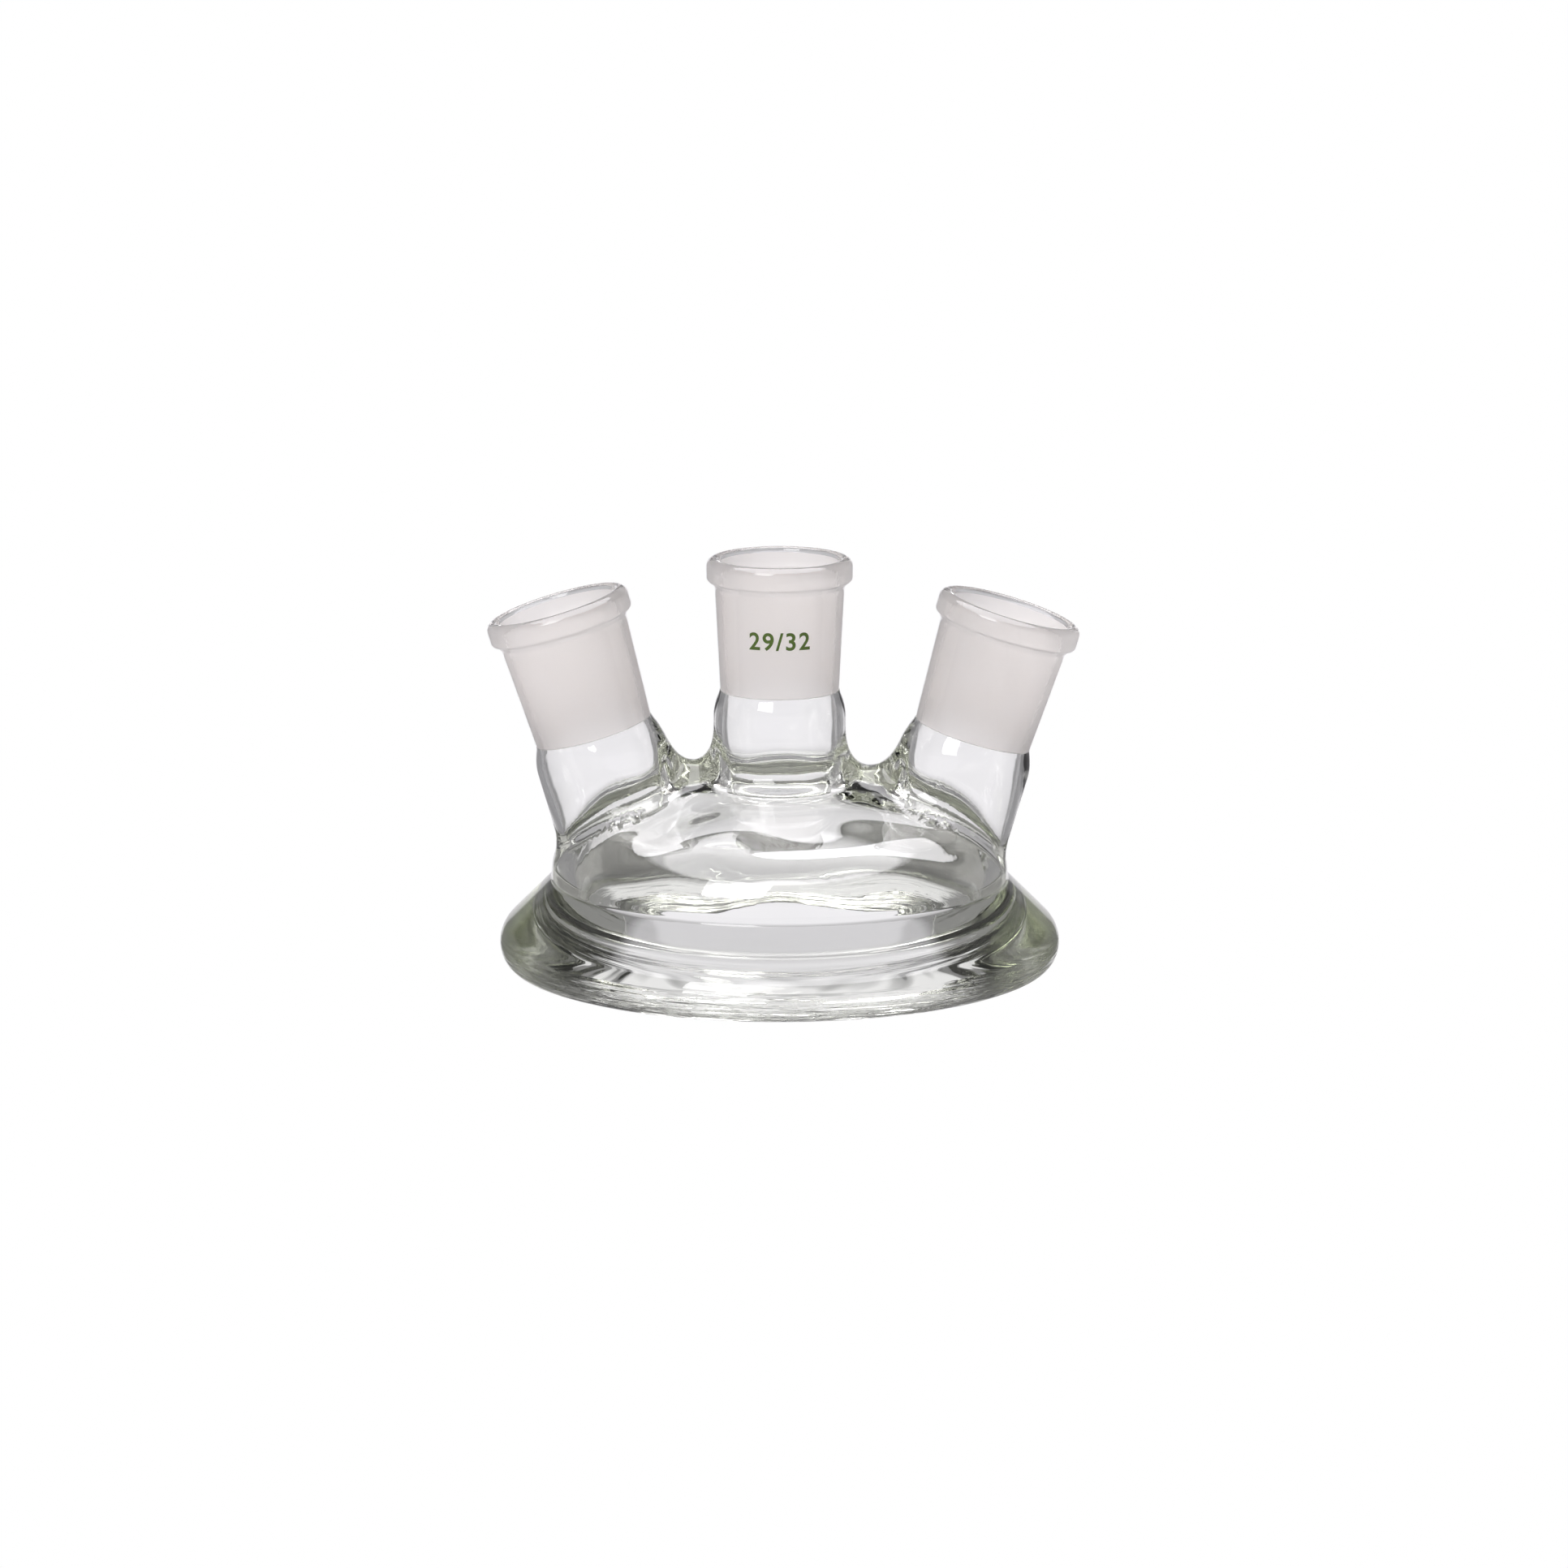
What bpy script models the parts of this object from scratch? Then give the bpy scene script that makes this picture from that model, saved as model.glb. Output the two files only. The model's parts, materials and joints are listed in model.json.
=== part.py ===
"""Flat-flange reaction vessel lid with three ground-joint sockets, in clear borosilicate glass.

The lid stands on its ground sealing face, at z = 0, with the flange's axis on Z. The side necks
lean outwards in the X-Z plane. Each object is one of the glassblower's blanks.
"""

import math

import bmesh
import bpy
from mathutils import Matrix, Vector

MM = 0.001
GAP = 0.3  # between one blank and the next, where the real glass is fused
STEPS_RING = 72
STEPS_NECK = 40

# Flat flange, nominal bore 100 (mm)
FLANGE_RADIUS = 69.0
FLANGE_BORE = 50.0
FACE_OUTER_RADIUS = 65.5
FACE_INNER_RADIUS = 51.0
EDGE_HEIGHT = 5.3  # height of the flange's widest line
EDGE_ROUND = 7.5  # radius that leads from the widest line into the cone
CONE_ANGLE = 45  # the clamp cone's slope, degrees
EDGE_STEPS = 6
BORE_STRAIGHT = 12.0  # height up to which the flange's bore is a plain cylinder
CONE_TOP_RADIUS = 56.2
FLANGE_TOP = 21.5

# Crown: an upright wall, a round knuckle and a shallow dome, each as (wall radius, knuckle radius,
# height of the knuckle's centre, height of the dome's top)
CROWN_OUTSIDE = (56.2, 17.0, 22.0, 47.0)
CROWN_INSIDE = (50.5, 13.0, 22.0, 42.3)
DOME_STEPS = 5
KNUCKLE_STEPS = 9

# Ground socket, size 29/32: the ground cone tapers 1 in 10 on diameter
MOUTH_RADIUS = 15.1
CONE_TOP_BORE = 14.6
CONE_TAPER = 0.05
SOCKET_LENGTH = 32.8
BEAD_RADIUS = 17.95
BEAD_CREST_RADIUS = 16.7  # the rim is flat out to here
BEAD_ROUND = 2.1  # depth at which the bead is widest
BEAD_HEIGHT = 5.1
BEAD_STEPS = 4
MOUTH_FLARE = 1.5  # depth over which the ground cone opens out to the mouth
SOCKET_TOP_RADIUS = 15.9
SOCKET_END_RADIUS = 14.6
BEAD_TO_WALL = 7.0  # depth below the rim where the bead has run into the socket's wall

# Neck tube
TUBE_RADIUS = 16.25
TUBE_BORE = 14.2
SHOULDER_LENGTH = 7.0  # from the socket's narrow end out to the full tube
SHOULDER_STEPS = 4
BORE_BLEND = 4.0  # length over which the socket's bore opens to the tube's
FLARE_RADIUS = 20.0  # the centre tube's foot, where it runs out into the dome
FLARE_LENGTH = 6.5
FLARE_STEPS = 5
FOOT_DEPTH = 55.2  # rim of the centre socket to the foot
TUBE_REACH = 82.0  # rim to the uncut end of a tube

# Necks: rim centre x and z, and lean away from the flange's axis in degrees
NECKS = {
    "centre": (0.0, 100.8, 0.0),
    "left": (-54.9, 89.2, -16.3),
    "right": (56.8, 88.3, 16.7),
}

# Enamel size mark on the front of the centre socket
MARK_WIDTH = 20.0
MARK_HEIGHT = 4.2
MARK_THICKNESS = 0.3
MARK_DEPTH = 18.5  # below the rim, to the middle of the mark
MARK_STEPS = 20


def clear_scene():
    for item in list(bpy.data.objects):
        bpy.data.objects.remove(item, do_unlink=True)


def collection(name):
    made = bpy.data.collections.new(name)
    bpy.context.scene.collection.children.link(made)
    return made


def glass(name, colour, roughness, transmission=1.0):
    material = bpy.data.materials.new(name)
    material.use_nodes = True
    shader = material.node_tree.nodes["Principled BSDF"]
    shader.inputs["Base Color"].default_value = (*colour, 1.0)
    shader.inputs["Roughness"].default_value = roughness
    shader.inputs["Metallic"].default_value = 0.0
    shader.inputs["Transmission Weight"].default_value = transmission
    shader.inputs["IOR"].default_value = 1.47
    return material


def arc(centre, radius, start, end, count):
    """Points on an arc in the profile plane. Angles are in degrees from +X."""
    angles = [math.radians(start + (end - start) * i / count) for i in range(count + 1)]
    return [(centre[0] + radius * math.cos(a), centre[1] + radius * math.sin(a)) for a in angles]


def domed(surface, grow):
    """Points over a crown surface, from the top's middle down to the end of its knuckle."""
    wall, knuckle, centre_height, top = surface
    beside = wall - knuckle
    above = top - centre_height - knuckle
    # The dome is the ball through the top that the knuckle touches from inside
    rise = (beside**2 - above**2) / (2 * above)
    meet = math.degrees(math.atan2(rise, beside))
    dome_radius = rise + above + knuckle + grow
    points = arc((0.0, centre_height - rise), dome_radius, 90, meet, DOME_STEPS)
    return points[:-1] + arc((beside, centre_height), knuckle + grow, meet, 0, KNUCKLE_STEPS)


def turned(name, profile, group, steps, material=None, closed=True):
    """A closed or axis-to-axis outline in the X-Z plane, turned about Z by a Screw modifier."""
    mesh = bpy.data.meshes.new(name)
    points = [(x * MM, 0.0, z * MM) for x, z in profile]
    edges = [(i, i + 1) for i in range(len(points) - 1)]
    if closed:
        edges.append((len(points) - 1, 0))
    mesh.from_pydata(points, edges, [])
    body = bpy.data.objects.new(name, mesh)
    group.objects.link(body)
    screw = body.modifiers.new("Turn", "SCREW")
    screw.axis = "Z"
    screw.steps = steps
    screw.render_steps = steps
    screw.use_merge_vertices = True
    screw.merge_threshold = 0.00001
    screw.use_smooth_shade = True
    if material is not None:
        mesh.materials.append(material)
    return body


def hide_cutter(body):
    body.hide_render = True
    body.display_type = "WIRE"


def subtract(body, cutter):
    cut = body.modifiers.new("Cut " + cutter.name, "BOOLEAN")
    cut.operation = "DIFFERENCE"
    cut.solver = "EXACT"
    cut.object = cutter


def neck_frame(neck):
    """Matrix of a neck: origin at the rim's centre, +Z out along the neck."""
    x, z, lean = NECKS[neck]
    return Matrix.Translation((x * MM, 0.0, z * MM)) @ Matrix.Rotation(math.radians(lean), 4, "Y")


def flange_profile():
    slope = math.radians(CONE_ANGLE)
    cone_foot = FLANGE_RADIUS - EDGE_ROUND * (1 - math.cos(slope))
    cone_foot_height = EDGE_HEIGHT + EDGE_ROUND * math.sin(slope)
    cone_top = cone_foot_height + (cone_foot - CONE_TOP_RADIUS) * math.tan(slope)
    outline = [(CONE_TOP_RADIUS, FLANGE_TOP), (CONE_TOP_RADIUS, cone_top)]
    edge_centre = (FLANGE_RADIUS - EDGE_ROUND, EDGE_HEIGHT)
    outline += arc(edge_centre, EDGE_ROUND, CONE_ANGLE, 0, EDGE_STEPS)
    under = FLANGE_RADIUS - FACE_OUTER_RADIUS
    for i in range(1, EDGE_STEPS + 1):
        turn = math.radians(90 * i / EDGE_STEPS)
        outline.append(
            (FACE_OUTER_RADIUS + under * math.cos(turn), EDGE_HEIGHT * (1 - math.sin(turn)))
        )
    outline += [(FACE_INNER_RADIUS, 0.0), (FLANGE_BORE, FACE_INNER_RADIUS - FLANGE_BORE)]
    outline += [(FLANGE_BORE, BORE_STRAIGHT), (CROWN_INSIDE[0], FLANGE_TOP)]
    return outline


def crown_profile():
    foot = FLANGE_TOP + GAP
    inside = domed(CROWN_INSIDE, 0.0)
    outline = domed(CROWN_OUTSIDE, 0.0)
    outline += [(CROWN_OUTSIDE[0], foot), (CROWN_INSIDE[0], foot)]
    return outline + inside[::-1]


def socket_profile():
    """Heights are measured from the rim, downwards negative."""
    wall = SOCKET_TOP_RADIUS
    outline = []
    for i in range(BEAD_STEPS + 1):
        turn = math.radians(90 * i / BEAD_STEPS)
        out = (BEAD_RADIUS - BEAD_CREST_RADIUS) * math.sin(turn)
        outline.append((BEAD_CREST_RADIUS + out, -BEAD_ROUND * (1 - math.cos(turn))))
    for i in range(BEAD_STEPS + 1):
        turn = math.radians(90 * i / BEAD_STEPS)
        down = (BEAD_TO_WALL - BEAD_HEIGHT) * math.sin(turn)
        outline.append((wall + (BEAD_RADIUS - wall) * math.cos(turn), -BEAD_HEIGHT - down))
    outline += [(SOCKET_END_RADIUS, -SOCKET_LENGTH)]
    outline += [(CONE_TOP_BORE - CONE_TAPER * SOCKET_LENGTH, -SOCKET_LENGTH)]
    outline += [(CONE_TOP_BORE - CONE_TAPER * MOUTH_FLARE, -MOUTH_FLARE), (MOUTH_RADIUS, 0.0)]
    return outline


def tube_profile(neck):
    """From just under the socket, down past the crown's surface, which then trims it."""
    top = -SOCKET_LENGTH - GAP
    outline = [(SOCKET_END_RADIUS, top)]
    for i in range(1, SHOULDER_STEPS + 1):
        share = i / SHOULDER_STEPS
        eased = math.sin(math.radians(90 * share))
        outline.append(
            (
                SOCKET_END_RADIUS + (TUBE_RADIUS - SOCKET_END_RADIUS) * eased,
                top - SHOULDER_LENGTH * share,
            )
        )
    widest = TUBE_RADIUS
    if neck == "centre":
        widest = FLARE_RADIUS
        for i in range(FLARE_STEPS + 1):
            share = i / FLARE_STEPS
            outline.append(
                (
                    TUBE_RADIUS + (FLARE_RADIUS - TUBE_RADIUS) * share**2,
                    -FOOT_DEPTH + FLARE_LENGTH * (1 - share),
                )
            )
    outline += [(widest, -TUBE_REACH), (TUBE_BORE, -TUBE_REACH)]
    outline += [(TUBE_BORE, top - BORE_BLEND), (CONE_TOP_BORE - CONE_TAPER * SOCKET_LENGTH, top)]
    return outline


def add_necks(parts, cutters, clear, frosted, crown):
    outline = domed(CROWN_OUTSIDE, GAP)
    outline += [(CROWN_OUTSIDE[0] + GAP, 0.0), (0.0, 0.0)]
    dome = turned("crown_cutter", outline, cutters, STEPS_RING, closed=False)
    hide_cutter(dome)
    for neck in NECKS:
        place = neck_frame(neck)
        socket = turned(neck + "_ground_socket", socket_profile(), parts, STEPS_NECK, frosted)
        socket.matrix_world = place
        tube = turned(neck + "_neck_tube", tube_profile(neck), parts, STEPS_NECK, clear)
        tube.matrix_world = place
        subtract(tube, dome)
        bore = turned(
            neck + "_bore_cutter",
            [(0.0, 0.0), (TUBE_BORE, 0.0), (TUBE_BORE, -TUBE_REACH), (0.0, -TUBE_REACH)],
            cutters,
            STEPS_NECK,
            closed=False,
        )
        bore.matrix_world = place
        hide_cutter(bore)
        subtract(crown, bore)


def add_size_mark(parts, enamel):
    """A thin enamel patch on the front of the centre socket, bent to its cone."""
    rim = NECKS["centre"][1]
    body = bpy.data.objects.new("joint_size_mark", bpy.data.meshes.new("joint_size_mark"))
    parts.objects.link(body)
    shape = bmesh.new()
    bmesh.ops.create_cube(shape, size=1.0)
    across = [edge for edge in shape.edges if abs(edge.verts[0].co.x - edge.verts[1].co.x) > 0.5]
    bmesh.ops.subdivide_edges(shape, edges=across, cuts=MARK_STEPS - 1)
    for vert in shape.verts:
        height = rim - MARK_DEPTH + vert.co.z * MARK_HEIGHT
        radius = wall_radius(rim - height) + GAP + MARK_THICKNESS * (0.5 - vert.co.y)
        angle = vert.co.x * MARK_WIDTH / radius
        vert.co = Vector((radius * math.sin(angle), -radius * math.cos(angle), height)) * MM
    bmesh.ops.recalc_face_normals(shape, faces=shape.faces)
    shape.to_mesh(body.data)
    shape.free()
    body.data.materials.append(enamel)


def wall_radius(depth):
    """Outer radius of a socket's wall at a depth below the rim."""
    share = (depth - BEAD_TO_WALL) / (SOCKET_LENGTH - BEAD_TO_WALL)
    return SOCKET_TOP_RADIUS + (SOCKET_END_RADIUS - SOCKET_TOP_RADIUS) * share


def build():
    clear_scene()
    parts = collection("reaction_vessel_lid")
    cutters = collection("cutters")
    clear = glass("clear_borosilicate", (0.93, 0.97, 0.95), 0.03)
    frosted = glass("ground_borosilicate", (0.86, 0.84, 0.83), 0.55, 0.6)
    enamel = glass("green_enamel", (0.05, 0.16, 0.02), 0.35, 0.0)
    turned("flange_ring", flange_profile(), parts, STEPS_RING, clear)
    crown = turned("crown", crown_profile(), parts, STEPS_RING, clear, closed=False)
    add_necks(parts, cutters, clear, frosted, crown)
    add_size_mark(parts, enamel)


build()
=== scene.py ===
"""Flat-flange reaction vessel lid with three ground sockets, in clear borosilicate glass.

The lid is built as a glassblower would see it: one fused body of clear glass (flange, crown and
neck tubes), three ground sockets on it, and the printed joint size. Lengths in the modelling code
are millimetres, and MM turns them into Blender's metres.
"""

import json
import math

import bmesh
import bpy
import numpy as np
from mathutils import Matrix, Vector


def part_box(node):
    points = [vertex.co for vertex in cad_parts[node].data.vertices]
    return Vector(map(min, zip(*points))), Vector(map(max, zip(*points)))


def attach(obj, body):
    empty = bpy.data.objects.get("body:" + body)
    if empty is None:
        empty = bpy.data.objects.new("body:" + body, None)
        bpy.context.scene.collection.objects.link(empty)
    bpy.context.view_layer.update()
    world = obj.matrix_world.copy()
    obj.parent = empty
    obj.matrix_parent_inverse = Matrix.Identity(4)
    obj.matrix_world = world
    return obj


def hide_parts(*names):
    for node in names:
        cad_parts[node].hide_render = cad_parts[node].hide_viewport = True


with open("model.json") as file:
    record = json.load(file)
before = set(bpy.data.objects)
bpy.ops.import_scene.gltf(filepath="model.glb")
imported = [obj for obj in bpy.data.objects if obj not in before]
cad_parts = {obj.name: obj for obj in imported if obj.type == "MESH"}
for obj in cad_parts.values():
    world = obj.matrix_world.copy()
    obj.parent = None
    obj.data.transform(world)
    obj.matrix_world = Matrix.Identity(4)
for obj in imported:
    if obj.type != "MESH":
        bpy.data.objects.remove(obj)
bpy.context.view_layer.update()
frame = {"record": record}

MM = 0.001

# ---------------------------------------------------------------------------------------------
# Sizes, from the frame where it gives them, in millimetres and degrees
# ---------------------------------------------------------------------------------------------
MOUNTS = {mount["name"]: mount for mount in frame["record"]["mounts"]}
NECKS = ("centre", "left", "right")


def neck_rim(neck):
    """Rim centre and outward axis of a neck. The mount's point is on the rim, straight in front."""
    mount = MOUNTS[neck + "_socket_rim"]
    x, _, z = mount["pos_m"]
    return np.array((x, 0.0, z)) / MM, np.array(mount["axis"])


RIMS = {neck: neck_rim(neck) for neck in NECKS}
FLANGE_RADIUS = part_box("flange_ring")[1][0] / MM
CROWN_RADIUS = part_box("crown")[1][0] / MM
CROWN_TOP = 47.0  # of the dome as it would run on under the centre neck

EDGE_HEIGHT = 5.3  # height of the flange's widest line
EDGE_ROUND = 7.5  # round that leads from the widest line into the 45 degree clamp cone
FACE_OUTER, FACE_INNER = 65.5, 51.0  # the ground sealing face, a ring between these radii
FLANGE_BORE = 50.0
# Soft ridges assumed in the flange's bore: amount, height and spread of each
BORE_RIDGES = ((0.5, 3.6, 1.2), (0.45, 8.4, 1.4))
SEAM_HEIGHT = 22.2  # where the turned flange hands over to the blown crown
SEAM_STEP = 0.5
CONE_ANGLE = 45
CONE_SOFTEN = 1.6  # round where the cone meets the crown's wall
ROUND_STEPS = 10
BORE_STEPS = 28

# Crown surfaces: wall radius, knuckle radius, height of the knuckle's centre, height of the top
CROWN_OUTSIDE = (CROWN_RADIUS, 17.0, 22.0, CROWN_TOP)
CROWN_INSIDE = (50.5, 13.0, 22.0, 42.3)
OUTER_BLEND = 13.0  # how far glass has flowed into the corner between crown and neck, outside
INNER_BLEND = 5.0
BLEND_EDGE = 55.0  # the corners shrink towards this distance from the middle, at the far sides
BLEND_RISE = 8.0  # height above the seam over which the corners fill out
BLEND_FADE = 15.0  # distance over which they shrink at the far sides
BLEND_BESIDE = 20.0  # the same to the front and the back of the row of necks
CALM_TOP = 58.0  # the wall's waves end at this height, and fade out over CALM_LENGTH
CALM_LENGTH = 8.0

# Long waves assumed in the wall: amount, wave length, direction and start of each
SAG_WAVES = (
    (0.16, 34.0, (1.0, 0.3, 0.2), 0.4),
    (0.13, 27.0, (-0.4, 1.0, 0.3), 1.9),
    (0.10, 21.0, (0.7, -0.8, 0.5), 3.1),
    (0.07, 16.0, (0.2, 0.5, 1.0), 5.2),
)

SOCKET_LENGTH = 32.8
SOCKET_TOP, SOCKET_END = 15.9, 14.6  # outer radii of the socket's wall
BORE_TOP, BORE_TAPER = 14.6, 0.05
TUBE_RADIUS, TUBE_BORE = 16.25, 14.2
SHOULDER = 6.5
BEAD_RADIUS, BEAD_CREST, MOUTH_RADIUS = 17.95, 15.9, 15.1
# Depths below the rim: where the bead is widest, where its side ends, its root, the plain wall
BEAD_ROUND, BEAD_SIDE, BEAD_ROOT, WALL_START = 2.1, 4.7, 6.0, 7.3
BEAD_UNDER = 1.3  # round under the bead
BEAD_FILLET = 0.9  # how far the root stands out from the wall
MOUTH_FLARE, LIP_ROUND, LIP_OVERHANG = 1.2, 0.9, 0.25
GROUND_START = 1.1  # depth below the rim where the ground bore begins
FUSE_GAP = 0.01  # hair's breadth between a socket's end and the tube it is fused to

VOXEL = 1.0
TURN_STEPS = 256
SOCKET_STEPS = 192
CORE_STEPS, STEM_STEPS = 96, 64
CORE_BASE = 17.0  # the crown's blank starts below the seam, and is cut there later
CORE_CAP_HEIGHT = 40  # open edges above this height belong to the blank's top
KNUCKLE_END = 85  # degrees, short of the axis, so that the blank's top can be capped
STEM_LENGTH, STEM_OVERLAP = 34.0, 4.0
# Only what lies this near to a neck's axis and between these depths is cut for its socket
CUT_REACH, CUT_FROM, CUT_TO = 22, 20, 42
END_NEAR, END_REACH = 0.2, 20  # how close to a tube's end its open edges lie, along and across

CAPITAL_SHARE = 0.7  # height of a figure as a share of the lettering's size
INK_THICKNESS, INK_SPREAD, INK_LIFT = 0.03, 0.11, 0.045

MIX_FIRST, MIX_SECOND, MIX_RESULT = 6, 7, 2  # colour sockets of a Mix node

CAMERA_ELEVATION, CAMERA_DISTANCE, CAMERA_AIM_HEIGHT = 11.72, 1.686, 0.045  # degrees, metres
LENS_LENGTH, LENS_SHIFT_X, LENS_SHIFT_Y = 157.34, 0.0028, -0.00205


# ---------------------------------------------------------------------------------------------
# Modelling helpers
# ---------------------------------------------------------------------------------------------
def deselect():
    if bpy.context.object is not None and bpy.context.object.mode != "OBJECT":
        bpy.ops.object.mode_set(mode="OBJECT")
    bpy.ops.object.select_all(action="DESELECT")


def edit(piece):
    deselect()
    bpy.context.view_layer.objects.active = piece
    piece.select_set(True)
    bpy.ops.object.mode_set(mode="EDIT")
    bpy.ops.mesh.select_all(action="DESELECT")


def finish_edit():
    bpy.ops.object.mode_set(mode="OBJECT")


def turned(name, rings, steps=TURN_STEPS):
    """A turned sheet: a circle that is extruded and scaled from one (radius, height) to the next."""
    deselect()
    radius, height = rings[0]
    bpy.ops.mesh.primitive_circle_add(vertices=steps, radius=radius * MM, location=(0, 0, height * MM))
    sheet = bpy.context.object
    sheet.name = sheet.data.name = name
    place_in_mesh(sheet)
    bpy.ops.object.mode_set(mode="EDIT")
    for next_radius, next_height in rings[1:]:
        rise = (next_height - height) * MM
        bpy.ops.mesh.extrude_region_move(TRANSFORM_OT_translate={"value": (0, 0, rise)})
        scale = next_radius / radius
        bpy.ops.transform.resize(value=(scale, scale, 1), center_override=(0, 0, next_height * MM))
        radius, height = next_radius, next_height
    finish_edit()
    return sheet


def place_in_mesh(piece):
    """Puts a piece's place into its mesh, so that its object sits unturned at the origin."""
    deselect()
    bpy.context.view_layer.objects.active = piece
    piece.select_set(True)
    bpy.ops.object.transform_apply(location=True, rotation=True, scale=True)


def joined(name, pieces):
    deselect()
    for piece in pieces:
        piece.select_set(True)
    bpy.context.view_layer.objects.active = pieces[0]
    bpy.ops.object.join()
    pieces[0].name = pieces[0].data.name = name
    return pieces[0]


def select_rim(piece, wanted):
    """Selects the open edges whose two ends both pass the test wanted(point in mm)."""
    mesh = bmesh.from_edit_mesh(piece.data)
    for edge in mesh.edges:
        ends = [np.array(vert.co) / MM for vert in edge.verts]
        edge.select_set(edge.is_boundary and all(wanted(end) for end in ends))
    bmesh.update_edit_mesh(piece.data)


def bridge(piece, wanted):
    bpy.ops.mesh.select_mode(type="EDGE")
    bpy.ops.mesh.select_all(action="DESELECT")
    select_rim(piece, wanted)
    bpy.ops.mesh.bridge_edge_loops()


def round_points(centre, radii, start, end, count):
    """Points on a quarter-ellipse or other arc of a profile, angles in degrees from +X."""
    angles = [math.radians(start + (end - start) * i / count) for i in range(count + 1)]
    return [(centre[0] + radii[0] * math.cos(a), centre[1] + radii[1] * math.sin(a)) for a in angles]


def straight(start, end, count):
    """Points between two profile points, without the first."""
    return [
        (start[0] + (end[0] - start[0]) * i / count, start[1] + (end[1] - start[1]) * i / count)
        for i in range(1, count + 1)
    ]


# ---------------------------------------------------------------------------------------------
# The blown surfaces, as distances in millimetres: negative inside, zero on the surface
# ---------------------------------------------------------------------------------------------
def crown_distance(points, surface):
    wall, knuckle, centre_height, top = surface
    beside = wall - knuckle
    above = top - centre_height - knuckle
    drop = (beside**2 - above**2) / (2 * above)
    radius = np.hypot(points[:, 0], points[:, 1])
    height = points[:, 2] - centre_height
    upright = radius - wall
    round_part = np.hypot(radius - beside, height) - knuckle
    dome = np.hypot(radius, height + drop) - (drop + above + knuckle)
    on_dome = (height + drop) * beside > radius * drop
    return np.where(height < 0, upright, np.where(on_dome, dome, round_part))


def neck_distance(points, neck, end_radius, tube_radius):
    """Distance from a neck's tube, which opens out below the socket over the shoulder's length."""
    rim, axis = RIMS[neck]
    offset = points - rim
    depth = -(offset @ axis)
    away = np.linalg.norm(offset + depth[:, None] * axis, axis=1)
    share = np.clip((depth - SOCKET_LENGTH) / SHOULDER, 0.0, 1.0)
    eased = np.sin(share * math.pi / 2)
    return away - (end_radius + (tube_radius - end_radius) * eased)


def flowed(first, second, reach):
    """Smooth union of two distances, as where hot glass has run into a corner."""
    near = np.clip(1 - np.abs(first - second) / reach, 0.0, None)
    return np.minimum(first, second) - near * near * reach / 4


def blend_share(points):
    """The corners are full between the necks and run out low down and at the far sides."""
    low = np.clip((points[:, 2] - SEAM_HEIGHT) / BLEND_RISE, 0.05, 1.0)
    far = np.clip((BLEND_EDGE - np.abs(points[:, 0])) / BLEND_FADE, 0.2, 1.0)
    beside = np.clip(1.2 - np.abs(points[:, 1]) / BLEND_BESIDE, 0.4, 1.0)
    return low * far * beside


def sag(points):
    """How much the glass wall is made to run thick and thin, in millimetres."""
    total = np.zeros(len(points))
    for amount, length, direction, start in SAG_WAVES:
        way = np.array(direction) / np.linalg.norm(direction)
        total += amount * np.sin(points @ way * (2 * math.pi / length) + start)
    return total


def outer_distance(points):
    gap = crown_distance(points, CROWN_OUTSIDE)
    reach = OUTER_BLEND * blend_share(points)
    for neck in NECKS:
        gap = flowed(gap, neck_distance(points, neck, SOCKET_END, TUBE_RADIUS), reach)
    return gap


def inner_distance(points):
    gap = crown_distance(points, CROWN_INSIDE)
    reach = INNER_BLEND * blend_share(points)
    bore_end = BORE_TOP - BORE_TAPER * SOCKET_LENGTH
    for neck in NECKS:
        gap = flowed(gap, neck_distance(points, neck, bore_end, TUBE_BORE), reach)
    calm = np.clip((points[:, 2] - SEAM_HEIGHT) / CALM_LENGTH, 0.0, 1.0)
    calm *= np.clip((CALM_TOP - points[:, 2]) / CALM_LENGTH, 0.0, 1.0)
    return gap + calm * sag(points)


def mesh_points(mesh):
    values = np.empty(len(mesh.vertices) * 3, np.float32)
    mesh.vertices.foreach_get("co", values)
    return values.reshape(-1, 3).astype(np.float64) / MM


def settle(shell, distance, rounds=6):
    """Spreads a remeshed shell's vertices evenly and lays them on the surface distance() = 0."""
    points = mesh_points(shell.data)
    ends = np.empty(len(shell.data.edges) * 2, np.int32)
    shell.data.edges.foreach_get("vertices", ends)
    ends = ends.reshape(-1, 2)
    count = np.bincount(ends.ravel(), minlength=len(points))[:, None]
    step = 0.02
    for turn in range(rounds + 3):
        if turn < rounds:
            total = np.zeros_like(points)
            np.add.at(total, ends[:, 0], points[ends[:, 1]])
            np.add.at(total, ends[:, 1], points[ends[:, 0]])
            points = 0.5 * points + 0.5 * total / count
        gap = distance(points)
        slope = np.empty_like(points)
        for axis in range(3):
            shift = np.zeros(3)
            shift[axis] = step
            slope[:, axis] = (distance(points + shift) - distance(points - shift)) / (2 * step)
        steep = np.maximum((slope**2).sum(axis=1), 0.2)
        points -= (np.clip(gap, -2.0, 2.0) / steep)[:, None] * slope
    shell.data.vertices.foreach_set("co", (points * MM).astype(np.float32).ravel())
    shell.data.update()


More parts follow.
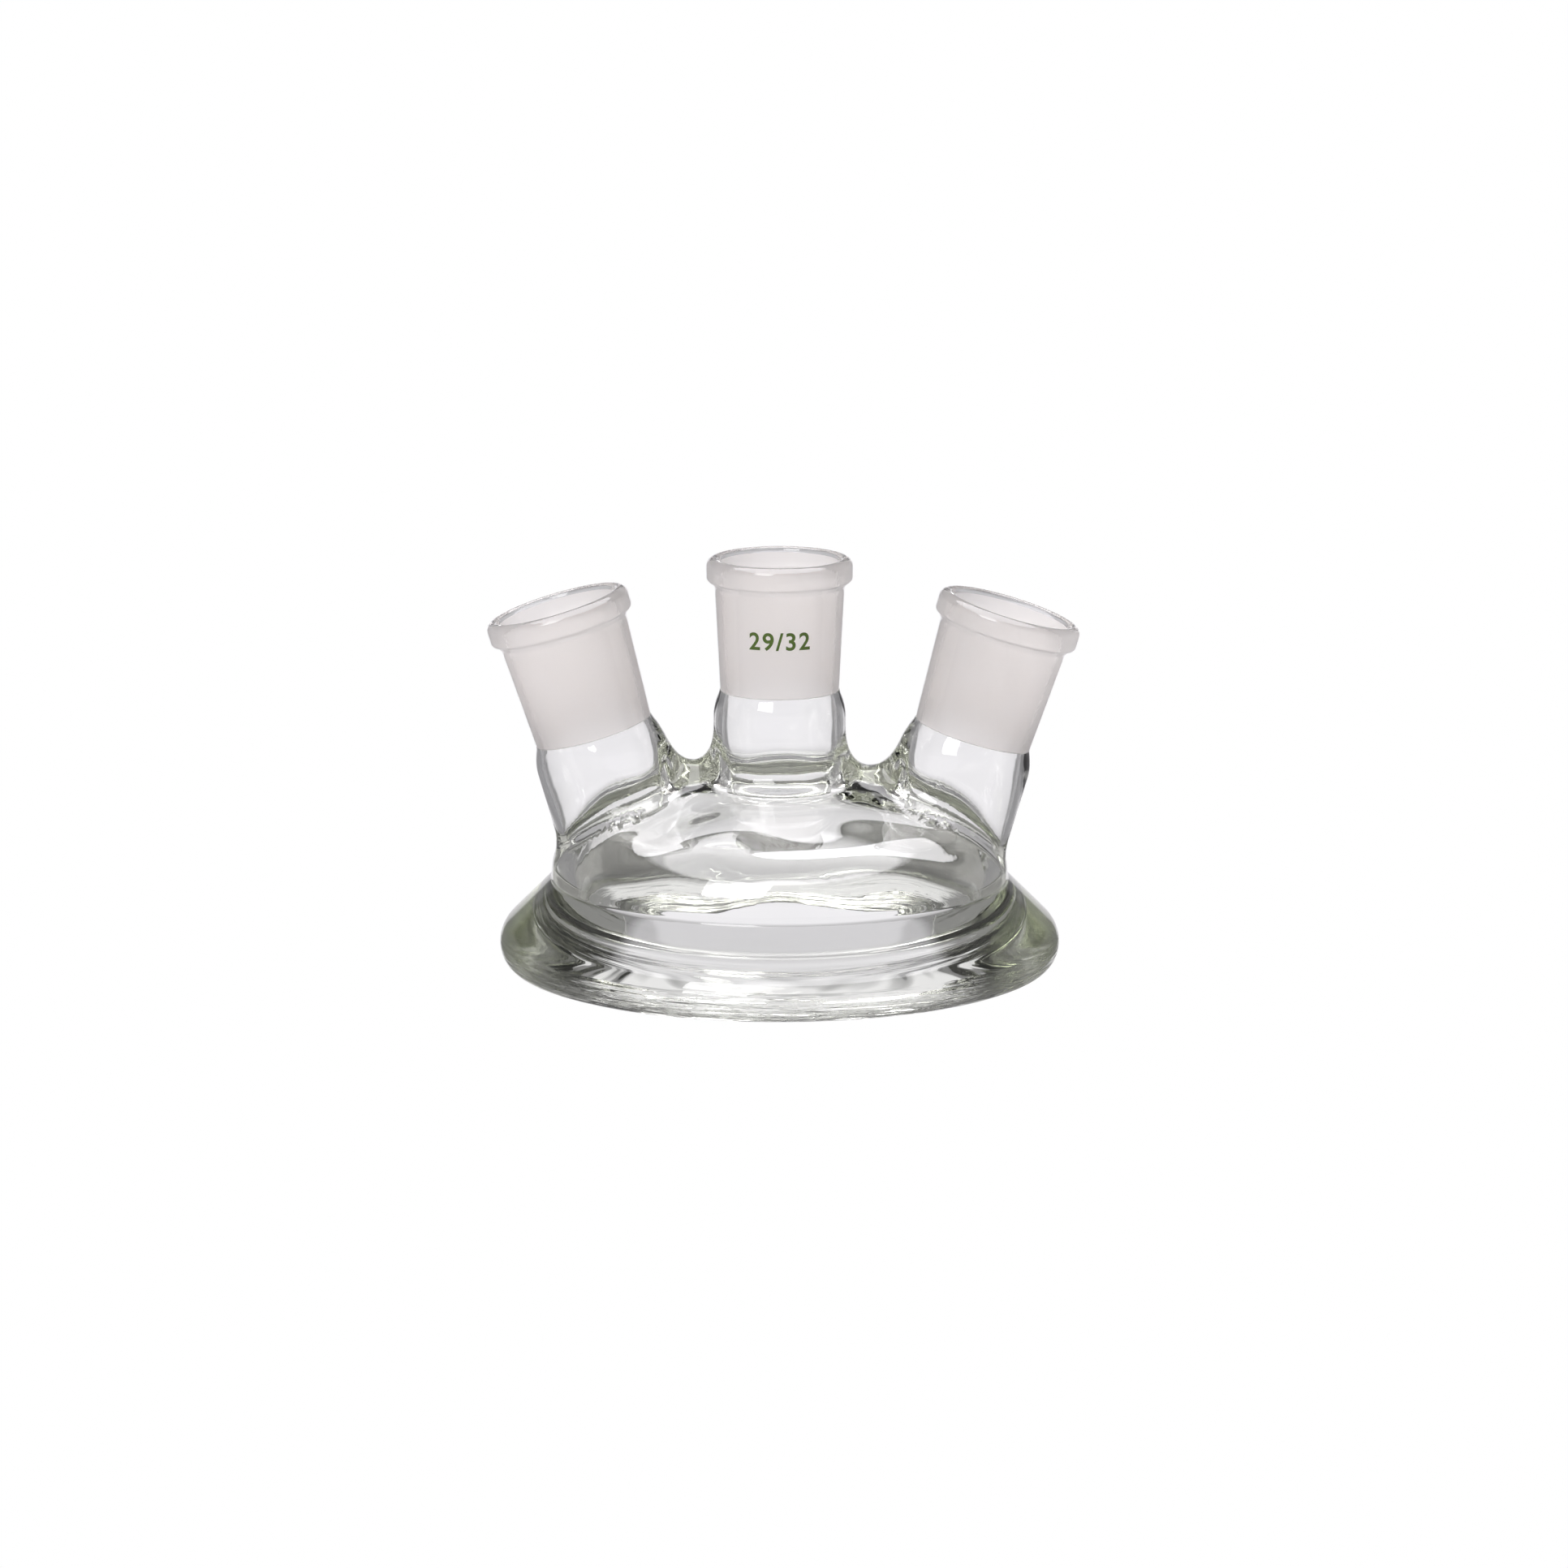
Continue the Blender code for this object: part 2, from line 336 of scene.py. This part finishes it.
def blown_shell(name, surface, end_radius, distance, end_gap):
    """Crown and tubes as one rounded solid, remeshed evenly and settled on their true surface."""
    wall, knuckle, centre_height, top = surface
    profile = [(wall, CORE_BASE), (wall, centre_height)]
    radii = (knuckle, top - centre_height)
    profile += round_points((wall - knuckle, centre_height), radii, 0, KNUCKLE_END, ROUND_STEPS)
    core = turned(name, profile, CORE_STEPS)
    edit(core)
    bpy.ops.mesh.select_mode(type="EDGE")
    for limit in (lambda p: p[2] < CORE_BASE + 1, lambda p: p[2] > CORE_CAP_HEIGHT):
        bpy.ops.mesh.select_all(action="DESELECT")
        select_rim(core, limit)
        bpy.ops.mesh.edge_face_add()
    bpy.ops.mesh.select_all(action="SELECT")
    bpy.ops.mesh.normals_make_consistent(inside=False)
    finish_edit()
    parts = [core]
    for neck in NECKS:
        rim, axis = RIMS[neck]
        middle = rim - axis * (SOCKET_LENGTH - STEM_OVERLAP + STEM_LENGTH / 2)
        deselect()
        bpy.ops.mesh.primitive_cylinder_add(
            vertices=STEM_STEPS,
            radius=end_radius * MM,
            depth=STEM_LENGTH * MM,
            location=middle * MM,
        )
        stem = bpy.context.object
        stem.rotation_euler = Vector(axis).to_track_quat("Z", "Y").to_euler()
        bpy.context.view_layer.update()
        place_in_mesh(stem)
        parts.append(stem)
    shell = joined(name, parts)
    remesh = shell.modifiers.new("Even mesh", "REMESH")
    remesh.mode = "VOXEL"
    remesh.voxel_size = VOXEL * MM
    bpy.ops.object.modifier_apply(modifier=remesh.name)
    settle(shell, distance)
    cut_open(shell, end_gap)
    return shell


def cut_open(shell, end_gap):
    """Cuts a shell off above the flange and square to each neck at its socket."""
    edit(shell)
    bpy.ops.mesh.select_all(action="SELECT")
    cut_off((0, 0, SEAM_HEIGHT + SEAM_STEP), (0, 0, -1))
    for neck in NECKS:
        rim, axis = RIMS[neck]
        bpy.ops.mesh.select_mode(type="VERT")
        bpy.ops.mesh.select_all(action="DESELECT")
        mesh = bmesh.from_edit_mesh(shell.data)
        for vert in mesh.verts:
            offset = np.array(vert.co) / MM - rim
            depth = -(offset @ axis)
            away = np.linalg.norm(offset + depth * axis)
            vert.select_set(away < CUT_REACH and CUT_FROM < depth < CUT_TO)
        mesh.select_flush_mode()
        bmesh.update_edit_mesh(shell.data)
        cut_off(rim - axis * (SOCKET_LENGTH + end_gap), axis)
    finish_edit()


def cut_off(point, normal):
    """Cuts the selected part of a sheet by a plane and drops what lies on the normal's side."""
    bpy.ops.mesh.bisect(
        plane_co=Vector(point) * MM,
        plane_no=Vector(normal),
        use_fill=False,
        clear_outer=True,
        threshold=0.00001,
    )


# ---------------------------------------------------------------------------------------------
# The fused body: turned flange, blown crown and neck tubes in one closed skin
# ---------------------------------------------------------------------------------------------
def flange_outside():
    slope = math.radians(CONE_ANGLE)
    cone_foot = FLANGE_RADIUS - EDGE_ROUND * (1 - math.cos(slope))
    cone_foot_height = EDGE_HEIGHT + EDGE_ROUND * math.sin(slope)
    corner = cone_foot_height + cone_foot - CROWN_RADIUS
    rings = [(CROWN_RADIUS, SEAM_HEIGHT)]
    centre = (CROWN_RADIUS + CONE_SOFTEN, corner + CONE_SOFTEN * math.tan(slope / 2))
    rings += round_points(centre, (CONE_SOFTEN, CONE_SOFTEN), 180, 180 + CONE_ANGLE, 6)
    rings += straight(rings[-1], (cone_foot, cone_foot_height), 8)
    edge_centre = (FLANGE_RADIUS - EDGE_ROUND, EDGE_HEIGHT)
    rings += round_points(edge_centre, (EDGE_ROUND, EDGE_ROUND), CONE_ANGLE, 0, ROUND_STEPS)[1:]
    under = (FLANGE_RADIUS - FACE_OUTER, EDGE_HEIGHT)
    rings += round_points((FACE_OUTER, EDGE_HEIGHT), under, 0, -90, ROUND_STEPS)[1:]
    return rings


def flange_inside():
    rings = straight((FACE_OUTER, 0.0), (FACE_INNER, 0.0), 3)
    lip = FACE_INNER - FLANGE_BORE
    rings += round_points((FACE_INNER, lip), (lip, lip), 270, 180, 4)[1:]
    for step in range(1, BORE_STEPS + 1):
        height = lip + (SEAM_HEIGHT - lip) * step / BORE_STEPS
        radius = FLANGE_BORE + (CROWN_INSIDE[0] - FLANGE_BORE) * step / BORE_STEPS
        for amount, ridge_height, spread in BORE_RIDGES:
            radius -= amount * math.exp(-(((height - ridge_height) / spread) ** 2))
        rings.append((radius, height))
    return rings


def fused_body():
    outside = blown_shell("fused_glass_body", CROWN_OUTSIDE, TUBE_RADIUS, outer_distance, FUSE_GAP)
    inside = blown_shell("inside", CROWN_INSIDE, TUBE_BORE, inner_distance, 4 * FUSE_GAP)
    flange = turned("flange", flange_outside() + flange_inside())
    body = joined("fused_glass_body", [outside, inside, flange])
    edit(body)
    middle = (CROWN_RADIUS + CROWN_INSIDE[0]) / 2

    def near_seam(point):
        return abs(point[2] - SEAM_HEIGHT) < 2 * SEAM_STEP

    bridge(body, lambda p: near_seam(p) and math.hypot(p[0], p[1]) > middle)
    bridge(body, lambda p: near_seam(p) and math.hypot(p[0], p[1]) < middle)
    for neck in NECKS:
        rim, axis = RIMS[neck]
        end = rim - axis * SOCKET_LENGTH

        def at_end(point):
            offset = point - end
            return abs(offset @ axis) < END_NEAR and np.linalg.norm(offset) < END_REACH

        bridge(body, at_end)
    bpy.ops.mesh.select_all(action="SELECT")
    bpy.ops.mesh.normals_make_consistent(inside=False)
    finish_edit()
    return body


# ---------------------------------------------------------------------------------------------
# Ground sockets
# ---------------------------------------------------------------------------------------------
def socket_rings():
    """Down the outside from the crest of the bead, across the end and up the ground bore."""
    rings = [(BEAD_CREST, 0.0)]
    shoulder = BEAD_RADIUS - BEAD_CREST
    rings += round_points((BEAD_CREST, -BEAD_ROUND), (shoulder, BEAD_ROUND), 90, 0, ROUND_STEPS)[1:]
    rings += straight(rings[-1], (BEAD_RADIUS, -BEAD_SIDE), 3)
    root = (SOCKET_TOP + BEAD_FILLET, -BEAD_ROOT)
    under = (BEAD_RADIUS - BEAD_UNDER, -BEAD_SIDE)
    rings += round_points(under, (BEAD_UNDER, BEAD_UNDER), 0, -65, 6)[1:]
    rings += straight(rings[-1], root, 2)
    rings += straight(root, (SOCKET_TOP, -WALL_START), 4)
    rings += straight(rings[-1], (SOCKET_END, -SOCKET_LENGTH), 20)
    rings.append((BORE_TOP - BORE_TAPER * SOCKET_LENGTH, -SOCKET_LENGTH))
    rings += straight(rings[-1], (BORE_TOP - BORE_TAPER * MOUTH_FLARE, -MOUTH_FLARE), 20)
    lip = (BEAD_CREST - MOUTH_RADIUS + LIP_OVERHANG, LIP_ROUND)
    rings += round_points((BEAD_CREST, -LIP_ROUND), lip, 170, 90, 6)
    return rings[:-1]


def ground_socket(neck):
    rim, axis = RIMS[neck]
    socket = turned(neck + "_socket", socket_rings(), SOCKET_STEPS)
    edit(socket)
    bridge(socket, lambda p: p[2] > -1.0)
    bpy.ops.mesh.select_all(action="SELECT")
    bpy.ops.mesh.normals_make_consistent(inside=False)
    finish_edit()
    socket.location = Vector(rim) * MM
    socket.rotation_euler = Vector(axis).to_track_quat("Z", "Y").to_euler()
    bpy.context.view_layer.update()
    place_in_mesh(socket)
    return socket


def assign(piece, material, wanted):
    """Gives a material to the faces whose centre and normal pass the test."""
    piece.data.materials.append(material)
    index = len(piece.data.materials) - 1
    for face in piece.data.polygons:
        if wanted(np.array(face.center) / MM, np.array(face.normal)):
            face.material_index = index


# ---------------------------------------------------------------------------------------------
# Printed joint size
# ---------------------------------------------------------------------------------------------
def size_mark():
    low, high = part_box("joint_size_mark")
    height = (high[2] - low[2]) / MM
    middle = (high[2] + low[2]) / 2 / MM
    deselect()
    bpy.ops.object.text_add(location=(0, 0, 0))
    text = bpy.context.object
    text.data.body = "29/32"
    text.data.size = height * MM / CAPITAL_SHARE
    text.data.align_x = "CENTER"
    text.data.align_y = "CENTER"
    text.data.extrude = INK_THICKNESS * MM
    text.data.offset = INK_SPREAD * MM
    text.data.space_character = 1.15
    bpy.ops.object.convert(target="MESH")
    text.name = text.data.name = "printed_joint_size"
    edit(text)
    bpy.ops.mesh.select_all(action="SELECT")
    bpy.ops.mesh.remove_doubles(threshold=0.000002)
    bpy.ops.mesh.quads_convert_to_tris()
    bpy.ops.mesh.subdivide(number_cuts=2)
    finish_edit()
    rim, _ = RIMS["centre"]
    for vert in text.data.vertices:
        x, y, out = vert.co / MM
        z = middle + y
        depth = rim[2] - z
        share = (depth - WALL_START) / (SOCKET_LENGTH - WALL_START)
        wall = SOCKET_TOP + (SOCKET_END - SOCKET_TOP) * share
        radius = wall + INK_LIFT + out
        angle = x / radius
        vert.co = Vector((radius * math.sin(angle), -radius * math.cos(angle), z)) * MM
    return text


# ---------------------------------------------------------------------------------------------
# Materials
# ---------------------------------------------------------------------------------------------
def linear(hex_colour):
    """An sRGB hex colour as linear RGBA."""
    values = [int(hex_colour[i : i + 2], 16) / 255 for i in (1, 3, 5)]
    return [v / 12.92 if v <= 0.04045 else ((v + 0.055) / 1.055) ** 2.4 for v in values] + [1.0]


def add(tree, kind, settings=None, **links):
    """Adds a node. Settings are attributes or input values, and links feed its inputs."""
    node = tree.nodes.new(kind)
    for name, value in (settings or {}).items():
        if name in node.inputs:
            node.inputs[name].default_value = value
        else:
            setattr(node, name, value)
    for name, source in links.items():
        tree.links.new(source, node.inputs[name.replace("_", " ")])
    return node


def new_material(name):
    material = bpy.data.materials.new(name)
    material.use_nodes = True
    material.node_tree.nodes.clear()
    return material, material.node_tree


BOROSILICATE = {"Base Color": (1, 1, 1, 1), "Metallic": 0.0, "IOR": 1.473, "Transmission Weight": 1.0}
GREEN_TINGE = {"Color": (0.50, 0.61, 0.12, 1.0), "Density": 4.4}


def clear_glass(name, thick):
    """Borosilicate glass, blown and fire polished. Thick glass gets fine turned lines low down."""
    material, tree = new_material(name)
    skin = add(tree, "ShaderNodeBsdfPrincipled", {**BOROSILICATE, "Roughness": 0.0})
    out = add(tree, "ShaderNodeOutputMaterial", Surface=skin.outputs["BSDF"])
    if thick:
        place = add(tree, "ShaderNodeTexCoord")
        split = add(tree, "ShaderNodeSeparateXYZ", Vector=place.outputs["Object"])
        drawn_out = add(
            tree, "ShaderNodeMapping", {"Scale": (0.05, 0.05, 1.0)}, Vector=place.outputs["Object"]
        )
        lines = add(
            tree,
            "ShaderNodeTexNoise",
            {"Scale": 800.0, "Detail": 2.0},
            Vector=drawn_out.outputs["Vector"],
        )
        low = add(
            tree,
            "ShaderNodeMapRange",
            {"From Min": 5.0 * MM, "From Max": 7.5 * MM, "To Min": 1.0, "To Max": 0.0},
            Value=split.outputs["Z"],
        )
        cut = math_node(tree, "MULTIPLY", lines.outputs["Fac"], low.outputs["Result"])
        bump = add(tree, "ShaderNodeBump", {"Strength": 1.0, "Distance": 0.8 * MM}, Height=cut)
        tree.links.new(bump.outputs["Normal"], skin.inputs["Normal"])
        depth = add(tree, "ShaderNodeVolumeAbsorption", GREEN_TINGE)
        tree.links.new(depth.outputs["Volume"], out.inputs["Volume"])
    return material


def ground_glass(name, thick, roughness, haze_share, shades):
    """Borosilicate glass ground with fine grit: an even haze that still lets light through."""
    material, tree = new_material(name)
    place = add(tree, "ShaderNodeTexCoord")
    grit = add(
        tree,
        "ShaderNodeTexNoise",
        {"Scale": 1400.0, "Detail": 2.0, "Roughness": 0.6},
        Vector=place.outputs["Object"],
    )
    clouds = add(
        tree, "ShaderNodeTexNoise", {"Scale": 120.0, "Detail": 3.0}, Vector=place.outputs["Object"]
    )
    tone = add(tree, "ShaderNodeMix", {"data_type": "RGBA"}, Factor=clouds.outputs["Fac"])
    tone.inputs[MIX_FIRST].default_value = linear(shades[0])
    tone.inputs[MIX_SECOND].default_value = linear(shades[1])
    bump = add(
        tree, "ShaderNodeBump", {"Strength": 0.25, "Distance": 0.1 * MM}, Height=grit.outputs["Fac"]
    )
    skin = add(tree, "ShaderNodeBsdfPrincipled", {**BOROSILICATE, "Roughness": roughness})
    tree.links.new(tone.outputs[MIX_RESULT], skin.inputs["Base Color"])
    tree.links.new(bump.outputs["Normal"], skin.inputs["Normal"])
    through = add(tree, "ShaderNodeBsdfTranslucent", Color=tone.outputs[MIX_RESULT])
    back = add(tree, "ShaderNodeBsdfDiffuse", Color=tone.outputs[MIX_RESULT])
    haze = add(tree, "ShaderNodeMixShader", {"Fac": 0.5})
    tree.links.new(through.outputs["BSDF"], haze.inputs[1])
    tree.links.new(back.outputs["BSDF"], haze.inputs[2])
    mixed = add(tree, "ShaderNodeMixShader", {"Fac": haze_share})
    tree.links.new(skin.outputs["BSDF"], mixed.inputs[1])
    tree.links.new(haze.outputs["Shader"], mixed.inputs[2])
    out = add(tree, "ShaderNodeOutputMaterial", Surface=mixed.outputs["Shader"])
    if thick:
        depth = add(tree, "ShaderNodeVolumeAbsorption", GREEN_TINGE)
        tree.links.new(depth.outputs["Volume"], out.inputs["Volume"])
    return material


def green_enamel():
    """Fired ceramic enamel, screen printed: opaque, slightly uneven, with a soft gloss."""
    material, tree = new_material("ceramic_enamel_green")
    place = add(tree, "ShaderNodeTexCoord")
    speckle = add(
        tree, "ShaderNodeTexNoise", {"Scale": 1800.0, "Detail": 3.0}, Vector=place.outputs["Object"]
    )
    tone = add(tree, "ShaderNodeMix", {"data_type": "RGBA"}, Factor=speckle.outputs["Fac"])
    tone.inputs[MIX_FIRST].default_value = linear("#33450C")
    tone.inputs[MIX_SECOND].default_value = linear("#4C6414")
    bump = add(
        tree, "ShaderNodeBump", {"Strength": 0.3, "Distance": 0.00002}, Height=speckle.outputs["Fac"]
    )
    skin = add(tree, "ShaderNodeBsdfPrincipled", {"Roughness": 0.38})
    tree.links.new(tone.outputs[MIX_RESULT], skin.inputs["Base Color"])
    tree.links.new(bump.outputs["Normal"], skin.inputs["Normal"])
    add(tree, "ShaderNodeOutputMaterial", Surface=skin.outputs["BSDF"])
    return material


# ---------------------------------------------------------------------------------------------
# Studio
# ---------------------------------------------------------------------------------------------
LANE_HALF_ANGLE, LANE_EDGE = 16.0, 1.6  # degrees either side of the viewer's line
# Below the horizon the ramps stand for the table. Its brightness falls towards straight down, and this
# is painted shade: the table in the lid's own shadow.
LANE = (
    (-90, 0.17), (-52, 0.18), (-48, 0.38), (-32, 0.52), (-24, 0.64), (-15, 0.90), (5, 0.92),
    (6.5, 0.15), (22, 0.12), (27, 0.02), (48, 0.02), (52, 5.4), (90, 5.4),
)
SIDES = (
    (-90, 0.17), (-52, 0.19), (-45, 0.28), (-10, 0.29), (8, 0.27), (12, 0.04),
    (48, 0.02), (52, 5.2), (90, 5.2),
)
FRONT = (
    (-90, 0.17), (-52, 0.19), (-46, 0.60), (-10, 0.74), (12, 0.70), (18, 0.10),
    (48, 0.02), (52, 5.2), (90, 5.2),
)


def studio():
    """A white product table as the glass sees it, with its shading painted in: a bright lane in front
    and behind, darker sides, and painted shade below where the lid's shadow falls on the table.

    Each ramp gives the brightness by the sine of the height above the horizon. The camera itself
    sees plain white.
    """
    world = bpy.data.worlds.new("studio")
    bpy.context.scene.world = world
    world.use_nodes = True
    tree = world.node_tree
    tree.nodes.clear()
    place = add(tree, "ShaderNodeTexCoord")
    split = add(tree, "ShaderNodeSeparateXYZ", Vector=place.outputs["Generated"])
    height = add(
        tree,
        "ShaderNodeMapRange",
        {"From Min": -1.0, "From Max": 1.0},
        Value=split.outputs["Z"],
    )
    lane = brightness_ramp(tree, height, LANE)
    sides = brightness_ramp(tree, height, SIDES)
    front = brightness_ramp(tree, height, FRONT)
    level = add(tree, "ShaderNodeCombineXYZ", X=split.outputs["X"], Y=split.outputs["Y"])
    reach = add(tree, "ShaderNodeVectorMath", {"operation": "LENGTH"}, Vector=level.outputs["Vector"])
    beside = math_node(tree, "ABSOLUTE", split.outputs["X"])
    share = math_node(tree, "DIVIDE", beside, reach.outputs["Value"])
    inner, outer = LANE_HALF_ANGLE - LANE_EDGE, LANE_HALF_ANGLE + LANE_EDGE
    edge = soft_step(tree, share, math.sin(math.radians(inner)), math.sin(math.radians(outer)))
    away = math_node(tree, "DIVIDE", split.outputs["Y"], reach.outputs["Value"])
    toward = soft_step(tree, away, -0.1, -0.5)
    behind = mixed_colour(tree, edge, lane.outputs["Color"], sides.outputs["Color"])
    seen = mixed_colour(tree, toward, behind, front.outputs["Color"])
    path = add(tree, "ShaderNodeLightPath")
    shown = add(tree, "ShaderNodeMix", {"data_type": "RGBA"}, Factor=path.outputs["Is Camera Ray"])
    tree.links.new(seen, shown.inputs[MIX_FIRST])
    shown.inputs[MIX_SECOND].default_value = (1, 1, 1, 1)
    sky = add(tree, "ShaderNodeBackground", {"Strength": 1.0}, Color=shown.outputs[MIX_RESULT])
    add(tree, "ShaderNodeOutputWorld", Surface=sky.outputs["Background"])


def brightness_ramp(tree, height, stops):
    """A ramp of (height above the horizon in degrees, brightness), with a faint lavender cast."""
    ramp = add(tree, "ShaderNodeValToRGB", Fac=height.outputs["Result"])
    elements = ramp.color_ramp.elements
    elements.remove(elements[-1])
    for index, (degrees, bright) in enumerate(stops):
        position = 0.5 + 0.5 * math.sin(math.radians(degrees))
        element = elements[0] if index == 0 else elements.new(position)
        element.position = position
        element.color = (bright, bright * 0.985, bright * 1.02, 1)
    return ramp


def soft_step(tree, value, low, high):
    step = add(
        tree,
        "ShaderNodeMapRange",
        {"interpolation_type": "SMOOTHSTEP", "From Min": low, "From Max": high},
        Value=value,
    )
    return step.outputs["Result"]


def mixed_colour(tree, share, first, second):
    mix = add(tree, "ShaderNodeMix", {"data_type": "RGBA"}, Factor=share)
    tree.links.new(first, mix.inputs[MIX_FIRST])
    tree.links.new(second, mix.inputs[MIX_SECOND])
    return mix.outputs[MIX_RESULT]


def math_node(tree, operation, *values):
    node = tree.nodes.new("ShaderNodeMath")
    node.operation = operation
    for socket, value in zip(node.inputs, values):
        tree.links.new(value, socket)
    return node.outputs["Value"]


def softbox(name, azimuth, elevation, distance, size, power):
    """A square lamp aimed at the lid. Azimuth is degrees right of the viewer's side."""
    turn, rise = math.radians(azimuth), math.radians(elevation)
    aim = Vector((0, 0, 0.05))
    way = Vector((math.sin(turn) * math.cos(rise), -math.cos(turn) * math.cos(rise), math.sin(rise)))
    lamp = bpy.data.lights.new(name, "AREA")
    lamp.shape = "SQUARE"
    lamp.size = size
    lamp.energy = power
    holder = bpy.data.objects.new(name, lamp)
    bpy.context.scene.collection.objects.link(holder)
    holder.location = aim + way * distance
    holder.rotation_euler = way.to_track_quat("Z", "Y").to_euler()


def camera():
    """Level with the necks and slightly above, with a long lens, square to the row of necks."""
    elevation = math.radians(CAMERA_ELEVATION)
    aim = Vector((0, 0, CAMERA_AIM_HEIGHT))
    back = Vector((0, -math.cos(elevation), math.sin(elevation)))
    lens = bpy.data.cameras.new("view")
    lens.sensor_width = 36.0
    lens.lens = LENS_LENGTH
    lens.clip_start = 0.05
    lens.shift_x = LENS_SHIFT_X
    lens.shift_y = LENS_SHIFT_Y
    holder = bpy.data.objects.new("view", lens)
    bpy.context.scene.collection.objects.link(holder)
    holder.location = aim + back * CAMERA_DISTANCE
    holder.rotation_euler = back.to_track_quat("Z", "Y").to_euler()
    bpy.context.scene.camera = holder


# ---------------------------------------------------------------------------------------------
# Assembly
# ---------------------------------------------------------------------------------------------
def smooth(piece, angle=32):
    deselect()
    bpy.context.view_layer.objects.active = piece
    piece.select_set(True)
    bpy.ops.object.shade_smooth_by_angle(angle=math.radians(angle))


camera()
studio()
softbox("key_softbox", azimuth=-27, elevation=36, distance=1.2, size=0.55, power=9.0)
thick_clear = clear_glass("borosilicate_fire_polished", thick=True)
thick_ground = ground_glass(
    "borosilicate_ground_face", True, 0.1, 0.02, ("#F4F0EE", "#FCFAF9")
)
wall_clear = clear_glass("borosilicate_drawn_tube", thick=False)
bore_ground = ground_glass(
    "borosilicate_ground_bore", False, 0.5, 0.55, ("#FBF6F2", "#FFFCFA")
)
enamel = green_enamel()

body = fused_body()
smooth(body)
assign(body, thick_clear, lambda centre, normal: True)
assign(body, thick_ground, lambda centre, normal: centre[2] < 0.05 and normal[2] < -0.9)
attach(body, "root")
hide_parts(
    "flange_ring", "crown", "centre_neck_tube", "left_neck_tube", "right_neck_tube"
)

for neck in NECKS:
    rim, axis = RIMS[neck]
    socket = ground_socket(neck)
    smooth(socket)
    assign(socket, wall_clear, lambda centre, normal: True)

    def in_bore(centre, normal):
        offset = centre - rim
        depth = -(offset @ axis)
        out = offset + depth * axis
        return (out @ normal) < -5.0 and GROUND_START < depth < SOCKET_LENGTH - FUSE_GAP

    assign(socket, bore_ground, in_bore)
    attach(socket, "root")
    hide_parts(neck + "_ground_socket")

mark = size_mark()
mark.data.materials.append(enamel)
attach(mark, "root")
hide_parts("joint_size_mark")

bpy.context.scene.view_settings.view_transform = "Standard"
bpy.context.scene.cycles.use_denoising = True
bpy.context.scene.cycles.max_bounces = 24
bpy.context.scene.cycles.transmission_bounces = 24
bpy.context.scene.cycles.glossy_bounces = 12
